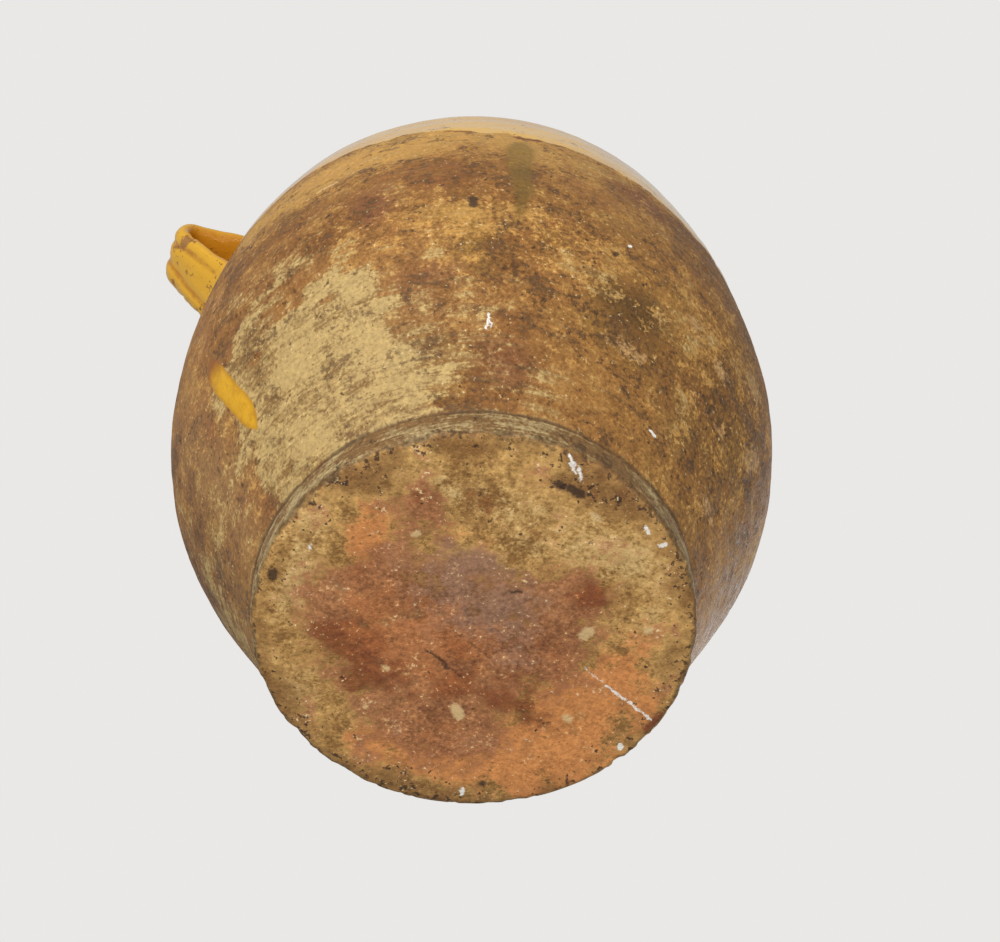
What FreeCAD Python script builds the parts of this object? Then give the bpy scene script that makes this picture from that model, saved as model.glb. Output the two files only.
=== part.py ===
import FreeCAD, Part
import math
import os
import Sketcher

# Confit pot: a thrown earthenware pot with a narrow flat foot, a wide belly,
# a pinched neck under a rolled rim and two pulled strap handles.
# The pot stands on the origin, its axis is +Z and the handles lie along X.

os.makedirs("parts", exist_ok=True)
doc = FreeCAD.newDocument("confit_pot")
V = FreeCAD.Vector

# Sizes in millimetres and degrees
SIZES = [
    ("pot_height", 286.0, "underside of the foot to the top of the rim"),
    ("wall", 8.0, "thickness of the thrown wall"),
    ("floor_thickness", 10.0, "thickness of the floor"),
    ("foot_radius", 86.5, "outside of the foot band"),
    ("foot_edge_round", 3.0, "worn round on the edge of the underside"),
    ("foot_height", 12.0, "top of the foot band"),
    ("crease_round", 5.0, "hollow where the body leaves the foot band"),
    ("taper_top", 77.7, "height where the straight lower wall turns into the belly"),
    ("belly_radius", 130.0, "widest radius of the body"),
    ("belly_height", 138.0, "height of the widest radius"),
    ("shoulder_inset", 10.4, "how far the wall has drawn in where the shoulder starts"),
    ("shoulder_drop", 57.6, "top of the rim down to where the shoulder starts"),
    ("neck_inset", 36.5, "how far the neck is drawn in from the belly"),
    ("neck_round", 8.0, "hollow of the neck under the rim"),
    ("rim_round", 6.5, "radius of the rolled rim"),
    ("floor_round", 24.0, "curve from the floor into the inside wall"),
    ("strap_thickness", 9.0, "thickness of the handle strap"),
    ("smear_thickness", 5.0, "strap thickness where it is smeared into the shoulder"),
    ("thumb_round", 2.5, "hollow that the thumb leaves where a strap meets the wall"),
    ("groove_depth", 1.6, "depth of the two finger grooves along the strap"),
    ("strap_overhang", 13.2, "how far the strap's middle line stands out past the belly"),
    ("bend_drop", 32.0, "top of the rim down to the centre of the strap's bend"),
    ("bend_round", 9.0, "radius of the strap's middle line in the bend"),
    ("strap_rise", 42.0, "lower end of the strap up to the centre of its bend"),
    ("heel_round", 28.0, "curve by which the strap leaves the shoulder"),
    ("root_lean", 86.0, "direction of the strap's lower end, up from level"),
    ("root_width", 40.0, "strap width at its lower end"),
    ("root_cover", 0.4, "how deep the corners of the strap's lower end lie in the wall"),
    ("bend_width", 28.5, "strap width where the bend starts"),
    ("bridge_width", 26.0, "strap width where the bend ends"),
    ("neck_end_width", 29.0, "strap width at the neck"),
]

sheet = doc.addObject("Spreadsheet::Sheet", "sizes")
for row, (alias, number, meaning) in enumerate(SIZES, start=1):
    sheet.set("A%d" % row, alias)
    sheet.set("B%d" % row, str(number))
    sheet.set("C%d" % row, meaning)
    sheet.setAlias("B%d" % row, alias)
doc.recompute()


def size(alias):
    """Read one number of the sheet."""
    return float(sheet.get(alias))


def line(sketch, start, end):
    """Add a straight line and return its number in the sketch."""
    edge = Part.LineSegment(V(start[0], start[1], 0), V(end[0], end[1], 0))
    return sketch.addGeometry(edge, False)


def arc(sketch, centre, radius, first, last):
    """Add an arc that runs anticlockwise between two angles in radians."""
    circle = Part.Circle(V(centre[0], centre[1], 0), V(0, 0, 1), radius)
    return sketch.addGeometry(Part.ArcOfCircle(circle, first, last), False)


def rule(sketch, *words):
    """Add one geometric constraint."""
    sketch.addConstraint(Sketcher.Constraint(*words))


def dimension(sketch, name, formula, *words):
    """Add one measured constraint and bind it to a formula of the sheet."""
    number = sketch.addConstraint(Sketcher.Constraint(*words))
    sketch.renameConstraint(number, name)
    sketch.setExpression("Constraints." + name, formula)


def plane(body, role):
    """Find one base plane of a body."""
    for item in body.Origin.OriginFeatures:
        if item.Role == role:
            return item
    raise ValueError(role)


def polar(centre, radius, angle):
    """Point on a circle at an angle in radians."""
    return (centre[0] + radius * math.cos(angle), centre[1] + radius * math.sin(angle))


def bearing(start, end):
    """Angle in radians from one point to another."""
    return math.atan2(end[1] - start[1], end[0] - start[0])


pot = doc.addObject("PartDesign::Body", "pot")
pot.Label = "pot"
pot.Placement = FreeCAD.Placement(V(0, 0, 0), FreeCAD.Rotation())

# Outline of the thrown wall, from the foot out and up to the rim and back down inside
quarter = math.pi / 2
wall = size("wall")
foot = size("foot_radius")
edge = size("foot_edge_round")
crease_round = size("crease_round")
belly = (size("belly_radius"), size("belly_height"))
taper_top = size("taper_top")


def crease_point(lean):
    """Where the straight wall leaves the crease, if it leans out by this angle."""
    return polar((foot + crease_round, size("foot_height")), crease_round, math.pi - lean)


def belly_miss(lean):
    """How far the straight wall and the belly curve end outside the belly."""
    start = crease_point(lean)
    straight = (taper_top - start[1]) * math.tan(lean)
    return start[0] + straight + (belly[1] - taper_top) * math.tan(lean / 2) - belly[0]


# The straight lower wall leans out just as far as the belly asks
least = 0.0
most = math.radians(85)
for halving in range(60):
    taper = (least + most) / 2
    if belly_miss(taper) > 0:
        most = taper
    else:
        least = taper

crease_centre = (foot + crease_round, size("foot_height"))
crease_end = crease_point(taper)
lower_round = (belly[1] - taper_top) / math.sin(taper)
lower_centre = (belly[0] - lower_round, belly[1])
shoulder_start = (belly[0] - size("shoulder_inset"), size("pot_height") - size("shoulder_drop"))
climb = shoulder_start[1] - belly[1]
upper_round = (climb ** 2 + size("shoulder_inset") ** 2) / (2 * size("shoulder_inset"))
upper_centre = (belly[0] - upper_round, belly[1])
turn_one = bearing(upper_centre, shoulder_start)
neck_radius = belly[0] - size("neck_inset")
rim_round = size("rim_round")
rim_centre = (neck_radius - wall + rim_round, size("pot_height") - rim_round)
neck_round = size("neck_round")
neck_x = neck_radius + neck_round
drop = math.sqrt((neck_round + rim_round) ** 2 - (neck_x - rim_centre[0]) ** 2)
neck_centre = (neck_x, rim_centre[1] - drop)
gap_x = shoulder_start[0] - neck_centre[0]
gap_y = shoulder_start[1] - neck_centre[1]
along = gap_x * math.cos(turn_one) + gap_y * math.sin(turn_one)
shoulder_round = (gap_x ** 2 + gap_y ** 2 - neck_round ** 2) / (2 * (along + neck_round))
shoulder_centre = polar(shoulder_start, -shoulder_round, turn_one)
turn_two = bearing(shoulder_centre, neck_centre)
turn_three = bearing(neck_centre, rim_centre)
floor_round = size("floor_round")
floor_level = size("floor_thickness")

# The inside taper runs at the wall's thickness from the outside taper
inner_start = polar(lower_centre, lower_round - wall, -taper)
floor_y = floor_level + floor_round
slide = (inner_start[1] - floor_y + floor_round * math.sin(taper)) * math.tan(taper)
floor_centre = (inner_start[0] - slide - floor_round * math.cos(taper), floor_y)

outline = pot.newObject("Sketcher::SketchObject", "wall_outline")
outline.AttachmentSupport = [(plane(pot, "XZ_Plane"), "")]
outline.MapMode = "FlatFace"

base = line(outline, (0, 0), (foot - edge, 0))
edge_arc = arc(outline, (foot - edge, edge), edge, -quarter, 0)
band = line(outline, (foot, edge), (foot, size("foot_height")))
crease = arc(outline, crease_centre, crease_round, math.pi - taper, math.pi)
taper_line = line(outline, crease_end, polar(lower_centre, lower_round, -taper))
lower = arc(outline, lower_centre, lower_round, -taper, 0)
upper = arc(outline, upper_centre, upper_round, 0, turn_one)
shoulder = arc(outline, shoulder_centre, shoulder_round, turn_one, turn_two)
neck = arc(outline, neck_centre, neck_round, turn_three, turn_two + math.pi)
rim = arc(outline, rim_centre, rim_round, turn_three - math.pi, math.pi)
inner_x = neck_radius - wall
mouth = line(outline, (inner_x, rim_centre[1]), (inner_x, neck_centre[1]))
inner_neck = arc(outline, neck_centre, neck_round + wall, math.pi, turn_two + math.pi)
inner_shoulder = arc(outline, shoulder_centre, shoulder_round - wall, turn_one, turn_two)
inner_upper = arc(outline, upper_centre, upper_round - wall, 0, turn_one)
inner_lower = arc(outline, lower_centre, lower_round - wall, -taper, 0)
inner_taper = line(outline, inner_start, polar(floor_centre, floor_round, -taper))
floor_arc = arc(outline, floor_centre, floor_round, -quarter, -taper)
floor_line = line(outline, (floor_centre[0], floor_level), (0, floor_level))
axis_line = line(outline, (0, floor_level), (0, 0))

# Each piece of the outline runs smoothly into the next
rule(outline, "Coincident", base, 1, -1, 1)
rule(outline, "Horizontal", base)
rule(outline, "Tangent", base, 2, edge_arc, 1)
rule(outline, "Tangent", edge_arc, 2, band, 1)
rule(outline, "Vertical", band)
rule(outline, "Tangent", band, 2, crease, 2)
rule(outline, "Tangent", crease, 1, taper_line, 1)
rule(outline, "Tangent", taper_line, 2, lower, 1)
rule(outline, "Tangent", lower, 2, upper, 1)
rule(outline, "Tangent", upper, 2, shoulder, 1)
rule(outline, "Tangent", shoulder, 2, neck, 2)
rule(outline, "Tangent", neck, 1, rim, 1)
rule(outline, "Tangent", rim, 2, mouth, 1)
rule(outline, "Vertical", mouth)
rule(outline, "Tangent", mouth, 2, inner_neck, 1)
rule(outline, "Tangent", inner_neck, 2, inner_shoulder, 2)
rule(outline, "Tangent", inner_shoulder, 1, inner_upper, 2)
rule(outline, "Tangent", inner_upper, 1, inner_lower, 2)
rule(outline, "Tangent", inner_lower, 1, inner_taper, 1)
rule(outline, "Tangent", inner_taper, 2, floor_arc, 2)
rule(outline, "Tangent", floor_arc, 1, floor_line, 1)
rule(outline, "Horizontal", floor_line)
rule(outline, "Coincident", floor_line, 2, axis_line, 1)
rule(outline, "Coincident", axis_line, 2, base, 1)
rule(outline, "Vertical", axis_line)

# The inside wall shares the centres of the outside wall
rule(outline, "Coincident", inner_neck, 3, neck, 3)
rule(outline, "Coincident", inner_shoulder, 3, shoulder, 3)
rule(outline, "Coincident", inner_upper, 3, upper, 3)
rule(outline, "Coincident", inner_lower, 3, lower, 3)
rule(outline, "Parallel", inner_taper, taper_line)
rule(outline, "Horizontal", lower, 3, lower, 2)

neck_formula = "sizes.belly_radius - sizes.neck_inset"
foot_flat = "sizes.foot_radius - sizes.foot_edge_round"
shoulder_x = "sizes.belly_radius - sizes.shoulder_inset"
shoulder_y = "sizes.pot_height - sizes.shoulder_drop"
inside_x = "sizes.belly_radius - sizes.wall"
rim_y = "sizes.pot_height - sizes.rim_round"
dimension(outline, "foot", foot_flat, "DistanceX", base, 1, base, 2, foot - edge)
dimension(outline, "foot_edge", "sizes.foot_edge_round", "Radius", edge_arc, edge)
dimension(outline, "band_top", "sizes.foot_height", "DistanceY", -1, 1, band, 2, size("foot_height"))
dimension(outline, "crease", "sizes.crease_round", "Radius", crease, crease_round)
dimension(outline, "taper_top", "sizes.taper_top", "DistanceY", -1, 1, lower, 1, taper_top)
dimension(outline, "belly_x", "sizes.belly_radius", "DistanceX", -1, 1, lower, 2, belly[0])
dimension(outline, "belly_y", "sizes.belly_height", "DistanceY", -1, 1, lower, 2, belly[1])
dimension(outline, "shoulder_x", shoulder_x, "DistanceX", -1, 1, upper, 2, shoulder_start[0])
dimension(outline, "shoulder_y", shoulder_y, "DistanceY", -1, 1, upper, 2, shoulder_start[1])
dimension(outline, "neck", "sizes.neck_round", "Radius", neck, neck_round)
dimension(outline, "neck_x", neck_formula + " + sizes.neck_round", "DistanceX", -1, 1, neck, 3, neck_x)
dimension(outline, "rim", "sizes.rim_round", "Radius", rim, rim_round)
dimension(outline, "rim_y", rim_y, "DistanceY", -1, 1, rim, 3, rim_centre[1])
dimension(outline, "inside", inside_x, "DistanceX", -1, 1, inner_lower, 2, belly[0] - wall)
dimension(outline, "floor_arc", "sizes.floor_round", "Radius", floor_arc, floor_round)
dimension(outline, "floor", "sizes.floor_thickness", "DistanceY", axis_line, 2, axis_line, 1, floor_level)

thrown = pot.newObject("PartDesign::Revolution", "thrown_wall")
thrown.Profile = outline
thrown.ReferenceAxis = (outline, ["V_Axis"])
thrown.Angle = 360.0
doc.recompute()


# Middle line of the strap: a curve off the shoulder, a straight rising leg, a tight
# bend and a nearly level leg back to the neck. Both ends lie inside the wall: the lower
# end so deep that the round wall covers its corners too.
root_y = size("pot_height") - size("bend_drop") - size("strap_rise")
root_wall = upper_centre[0] + math.sqrt(upper_round ** 2 - (root_y - belly[1]) ** 2)
smear_half = size("smear_thickness") / 2
corner = size("root_width") / 2 - smear_half
root_x = math.sqrt(root_wall ** 2 - corner ** 2) - smear_half - size("root_cover")
root = (root_x, root_y)
root_lean = math.radians(size("root_lean"))
heel_round = size("heel_round")
heel_centre = polar(root, heel_round, root_lean - quarter)
bend_round = size("bend_round")
bend_x = belly[0] + size("strap_overhang") - bend_round
bend_centre = (bend_x, size("pot_height") - size("bend_drop"))
reach = math.dist(heel_centre, bend_centre)
leg_lean = bearing(heel_centre, bend_centre) - math.asin((heel_round + bend_round) / reach)
heel_end = polar(heel_centre, heel_round, leg_lean + quarter)
bend_start = polar(bend_centre, bend_round, leg_lean - quarter)
neck_end = (neck_radius - wall / 2, neck_centre[1])
back = math.dist(bend_centre, neck_end)
bridge_lean = bearing(bend_centre, neck_end) + math.asin(bend_round / back)
bend_end = polar(bend_centre, bend_round, bridge_lean - quarter)

path = pot.newObject("Sketcher::SketchObject", "strap_path")
path.AttachmentSupport = [(plane(pot, "XZ_Plane"), "")]
path.MapMode = "FlatFace"
heel = arc(path, heel_centre, heel_round, leg_lean + quarter, root_lean + quarter)
leg = line(path, heel_end, bend_start)
bend = arc(path, bend_centre, bend_round, leg_lean - quarter, bridge_lean - quarter)
bridge = line(path, bend_end, neck_end)
spoke = line(path, root, heel_centre)
path.setConstruction(spoke, True)
rule(path, "Tangent", heel, 1, leg, 1)
rule(path, "Tangent", leg, 2, bend, 1)
rule(path, "Tangent", bend, 2, bridge, 1)
rule(path, "Coincident", spoke, 1, heel, 2)
rule(path, "Coincident", spoke, 2, heel, 3)

climb_formula = "(sizes.pot_height - sizes.shoulder_drop - sizes.belly_height)"
inset_formula = "sizes.shoulder_inset"
upper_formula = "((" + climb_formula + " ^ 2 + " + inset_formula + " ^ 2) / (2 * " + inset_formula + "))"
root_formula = "(sizes.pot_height - sizes.bend_drop - sizes.strap_rise)"
root_up = "(" + root_formula + " - sizes.belly_height)"
root_out = "sqrt(" + upper_formula + " ^ 2 - " + root_up + " ^ 2)"
root_wall_formula = "(sizes.belly_radius - " + upper_formula + " + " + root_out + ")"
corner_formula = "(sizes.root_width / 2 - sizes.smear_thickness / 2)"
root_x_formula = "sqrt(" + root_wall_formula + " ^ 2 - " + corner_formula + " ^ 2)"
root_x_formula += " - sizes.smear_thickness / 2 - sizes.root_cover"
neck_end_x = neck_formula + " - sizes.wall / 2"
neck_reach = "(sizes.neck_round + sizes.rim_round)"
neck_side = "(sizes.neck_round + sizes.wall - sizes.rim_round)"
neck_end_y = rim_y + " - sqrt(" + neck_reach + " ^ 2 - " + neck_side + " ^ 2)"
bend_x_formula = "sizes.belly_radius + sizes.strap_overhang - sizes.bend_round"
bend_y_formula = "sizes.pot_height - sizes.bend_drop"
dimension(path, "root_x", root_x_formula, "DistanceX", -1, 1, heel, 2, root[0])
dimension(path, "root_y", root_formula, "DistanceY", -1, 1, heel, 2, root[1])
dimension(path, "spoke", "sizes.root_lean - 90", "Angle", -1, 1, spoke, 1, root_lean - quarter)
dimension(path, "heel", "sizes.heel_round", "Radius", heel, heel_round)
dimension(path, "bend", "sizes.bend_round", "Radius", bend, bend_round)
dimension(path, "bend_x", bend_x_formula, "DistanceX", -1, 1, bend, 3, bend_centre[0])
dimension(path, "bend_y", bend_y_formula, "DistanceY", -1, 1, bend, 3, bend_centre[1])
dimension(path, "end_x", neck_end_x, "DistanceX", -1, 1, bridge, 2, neck_end[0])
dimension(path, "end_y", neck_end_y, "DistanceY", -1, 1, bridge, 2, neck_end[1])


def measure(sketch, name, *words):
    """Add a measured value that follows the sketch and does not drive it."""
    number = sketch.addConstraint(Sketcher.Constraint(*words))
    sketch.setDriving(number, False)
    sketch.renameConstraint(number, name)


# The places and directions where the strap's sections stand
measure(path, "leg_lean", "Angle", -1, 1, leg, 1, leg_lean)
measure(path, "start_x", "DistanceX", -1, 1, bend, 1, bend_start[0])
measure(path, "start_y", "DistanceY", -1, 1, bend, 1, bend_start[1])
measure(path, "bridge_lean", "Angle", -1, 1, bridge, 1, bridge_lean)
measure(path, "finish_x", "DistanceX", -1, 1, bend, 2, bend_end[0])
measure(path, "finish_y", "DistanceY", -1, 1, bend, 2, bend_end[1])
doc.recompute()


def strap_section(name, place, place_names, lean, lean_formula, width_alias, thickness_alias):
    """Draw the strap's section at one point of its path, square to the path.

    The inside face is flat, the edges are round and the outside face has three
    lobes between two finger grooves.
    """
    width = size(width_alias)
    thick = size(thickness_alias)
    groove = size("groove_depth") * thick / size("strap_thickness")
    half = width / 2
    end = thick / 2
    third = width / 6
    outer = -end + groove

    sketch = pot.newObject("Sketcher::SketchObject", name)
    sketch.AttachmentSupport = [(plane(pot, "YZ_Plane"), "")]
    sketch.MapMode = "FlatFace"
    turn = FreeCAD.Rotation(V(-1, 0, 0), math.degrees(lean))
    sketch.AttachmentOffset = FreeCAD.Placement(V(0, place[1], place[0]), turn)
    sketch.setExpression("AttachmentOffset.Base.z", "strap_path.Constraints." + place_names[0])
    sketch.setExpression("AttachmentOffset.Base.y", "strap_path.Constraints." + place_names[1])
    sketch.setExpression("AttachmentOffset.Rotation.Angle", lean_formula)

    flat = line(sketch, (-half + end, end), (half - end, end))
    right_end = arc(sketch, (half - end, 0), end, -quarter, quarter)
    run = half - end - third
    side = (run ** 2 + groove ** 2) / (2 * groove)
    sweep = math.asin(run / side)
    right_lobe = arc(sketch, (half - end, side - end), side, -quarter - sweep, -quarter)
    middle = (third ** 2 + groove ** 2) / (2 * groove)
    fan = math.asin(third / middle)
    middle_lobe = arc(sketch, (0, middle - end), middle, -quarter - fan, -quarter + fan)
    left_lobe = arc(sketch, (-half + end, side - end), side, -quarter, -quarter + sweep)
    left_end = arc(sketch, (-half + end, 0), end, quarter, 3 * quarter)

    rule(sketch, "Tangent", flat, 2, right_end, 2)
    rule(sketch, "Tangent", right_end, 1, right_lobe, 2)
    rule(sketch, "Coincident", right_lobe, 1, middle_lobe, 2)
    rule(sketch, "Coincident", middle_lobe, 1, left_lobe, 2)
    rule(sketch, "Tangent", left_lobe, 1, left_end, 2)
    rule(sketch, "Tangent", left_end, 1, flat, 1)
    rule(sketch, "Vertical", right_end, 3, right_end, 1)
    rule(sketch, "Vertical", left_end, 3, left_end, 2)
    rule(sketch, "Equal", right_end, left_end)
    rule(sketch, "Symmetric", flat, 1, flat, 2, -2)
    rule(sketch, "Symmetric", middle_lobe, 1, middle_lobe, 2, -2)

    deep = "sizes." + thickness_alias
    wide = "sizes." + width_alias
    dip = "sizes.groove_depth / sizes.strap_thickness"
    dimension(sketch, "end", deep + " / 2", "Radius", right_end, end)
    dimension(sketch, "half_up", deep + " / 2", "DistanceY", -1, 1, flat, 2, end)
    dimension(sketch, "flat_run", wide + " - " + deep, "DistanceX", flat, 1, flat, 2, width - thick)
    dimension(sketch, "lobe_run", wide + " / 3", "DistanceX", middle_lobe, 1, middle_lobe, 2, 2 * third)
    groove_up = deep + " * (1 - " + dip + ")"
    dimension(sketch, "groove", groove_up, "DistanceY", middle_lobe, 2, flat, 2, end - outer)
    sag = deep + " * " + dip
    lobe = "((" + wide + " / 6) ^ 2 + (" + sag + ") ^ 2) / (2 * " + sag + ")"
    dimension(sketch, "middle", lobe, "Radius", middle_lobe, middle)
    return sketch


leg_measure = "strap_path.Constraints.leg_lean"
bridge_measure = "strap_path.Constraints.bridge_lean"
root_section = strap_section("root_section", root, ("root_x", "root_y"), root_lean,
                             "sizes.root_lean", "root_width", "smear_thickness")
bend_section = strap_section("bend_section", bend_start, ("start_x", "start_y"), leg_lean,
                             leg_measure, "bend_width", "strap_thickness")
bridge_section = strap_section("bridge_section", bend_end, ("finish_x", "finish_y"), bridge_lean,
                               bridge_measure, "bridge_width", "strap_thickness")
neck_section = strap_section("neck_section", neck_end, ("end_x", "end_y"), bridge_lean,
                             bridge_measure, "neck_end_width", "strap_thickness")
doc.recompute()

# Pulled strap handle: it leaves the shoulder wide and thin, rises outwards, turns and
# comes back level to the neck. Both ends stop inside the thickness of the wall.
strap = pot.newObject("PartDesign::AdditivePipe", "strap_handle")
strap.Profile = root_section
strap.Spine = (path, ["Edge1", "Edge2", "Edge3", "Edge4"])
strap.Sections = [bend_section, bridge_section, neck_section]
strap.Transformation = "Multisection"
strap.Mode = "Standard"
doc.recompute()

# The second handle faces the first across the pot
pair = pot.newObject("PartDesign::Mirrored", "second_handle")
pair.Originals = [strap]
pair.MirrorPlane = (plane(pot, "YZ_Plane"), [""])
pot.Tip = pair
doc.recompute()


def seam_edges(shape):
    """Name the edges where a swept face of a strap meets a turned face of the wall."""
    names = []
    for number, edge in enumerate(shape.Edges, start=1):
        kinds = [type(face.Surface).__name__ for face in shape.ancestorsOfType(edge, Part.Face)]
        turned = "Toroid" in kinds or "SurfaceOfRevolution" in kinds
        if turned and "BSplineSurface" in kinds:
            names.append("Edge%d" % number)
    return names


# The straps are smeared into the wall with a thumb, at the shoulder and under the rim
smear = pot.newObject("PartDesign::Fillet", "thumb_smear")
smear.Base = (pair, seam_edges(pair.Shape))
smear.Radius = size("thumb_round")
smear.setExpression("Radius", "sizes.thumb_round")
pot.Tip = smear
doc.recompute()

# Every object must be sound before the solid is written
for item in doc.Objects:
    if "Invalid" in item.State or "Error" in item.State:
        raise RuntimeError("not sound: " + item.Name)
if pot.Shape.isNull() or not pot.Shape.isValid():
    raise RuntimeError("the pot has no valid shape")
if len(pot.Shape.Solids) != 1:
    raise RuntimeError("the pot is not one solid")

pot.Shape.exportStep("parts/pot.step")
box = pot.Shape.BoundBox
print("pot", round(box.XLength, 2), round(box.YLength, 2), round(box.ZLength, 2))
print("litres of clay", round(pot.Shape.Volume / 1e6, 3), "faces", len(pot.Shape.Faces))
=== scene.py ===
import math
import bpy
import numpy as np
from mathutils import Matrix, Vector


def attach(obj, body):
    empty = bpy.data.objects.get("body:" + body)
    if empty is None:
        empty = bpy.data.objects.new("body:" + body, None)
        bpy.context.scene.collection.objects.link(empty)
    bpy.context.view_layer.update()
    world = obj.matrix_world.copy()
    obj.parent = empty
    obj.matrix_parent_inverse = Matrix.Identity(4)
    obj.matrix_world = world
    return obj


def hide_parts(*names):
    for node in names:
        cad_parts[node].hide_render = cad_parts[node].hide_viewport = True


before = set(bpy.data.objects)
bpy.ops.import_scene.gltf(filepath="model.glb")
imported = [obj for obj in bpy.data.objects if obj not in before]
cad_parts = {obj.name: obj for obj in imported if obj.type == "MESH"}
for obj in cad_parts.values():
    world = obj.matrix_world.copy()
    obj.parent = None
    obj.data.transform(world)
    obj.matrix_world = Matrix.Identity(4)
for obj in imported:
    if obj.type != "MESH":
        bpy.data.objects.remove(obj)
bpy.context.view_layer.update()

MM = 0.001

# Sizes of the pot in millimetres and degrees, as built
HEIGHT, WALL = 286.0, 8.0
FOOT, FOOT_EDGE, FOOT_TOP, CREASE = 86.5, 3.0, 12.0, 5.0
TAPER_TOP = 77.7
BELLY, BELLY_Z = 130.0, 138.0
SHOULDER_IN, SHOULDER_DROP = 10.4, 57.6
NECK_IN, NECK_ROUND, RIM = 36.5, 8.0, 6.5
FLOOR, FLOOR_ROUND = 10.0, 24.0
TAPER = math.radians(25.0065)

# The strap handle's middle line, in the plane of the pot's axis
ROOT_UP, ROOT_LEAN, HEEL_ROUND = 212.0, 86.0, 28.0
BEND_AT, BEND_ROUND = (134.2, 254.0), 9.0
NECK_END = 268.5
ROOT_WIDE, BEND_WIDE, BRIDGE_WIDE, NECK_WIDE = 38.0, 28.5, 26.0, 29.0
STRAP_THICK, SMEAR_THICK, GROOVE, SQUARED = 9.0, 5.0, 1.3, 2.6
# At the root: half the strap's width, how deep its corners lie in the wall, the wall's radius
# and how thick the clay is that fills the corner
ROOT_HALF, ROOT_COVER, ROOT_WALL, ROOT_FILL = 17.5, 0.4, 121.0, 3.4

# Points in each stretch of the outline and of the strap's line, round the pot and round the strap
UNDER_ROWS, EDGE_ROWS, COLUMNS = 37, 7, 336
HEEL_ROWS, LEG_ROWS, BEND_ROWS, BRIDGE_ROWS, SECTION = 14, 20, 18, 26, 48

# How far the worn skin lies inside those sizes, on the wall and under the foot
WALL_SKIN, FOOT_SKIN = 0.4, 0.25

# Direction of the photo's camera round the pot, in degrees
FRONT = -107.65

# Runs of glaze: (bearing, height) of top and bottom, half widths there, bluntness of the ends
DRIP = ((-166.8, 103.5), (-161.8, 50.5), 5.5, 5.3, 5.0)
RUN = ((-97.2, 188), (-98.8, 103), 8.2, 3.2, 5.0)
# Farthest that a glaze's edge is measured, in millimetres
FAR = 12.0


# Surfaces
def arc(centre, radius, first, last, count):
    """Points on a circle: centre plus radius times (cos, sin) of evenly spaced angles."""
    turn = np.linspace(first, last, count)
    return np.stack([centre[0] + radius * np.cos(turn), centre[1] + radius * np.sin(turn)], 1)


def line(start, end, count):
    """Points on a straight line: start plus an even share of the way to the end."""
    share = np.linspace(0.0, 1.0, count)[:, None]
    return np.array(start) * (1 - share) + np.array(end) * share


def unit(vectors):
    """Each row scaled to a length of 1."""
    return vectors / np.maximum(np.linalg.norm(vectors, axis=1), 1e-9)[:, None]


def shoulder_arc():
    """Radius of the arc from belly to shoulder and how high it climbs. It leaves the belly
    upright, so its radius is (climb squared plus step in squared) over twice the step in.
    """
    climb = HEIGHT - SHOULDER_DROP - BELLY_Z
    return (climb ** 2 + SHOULDER_IN ** 2) / (2 * SHOULDER_IN), climb


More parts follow.
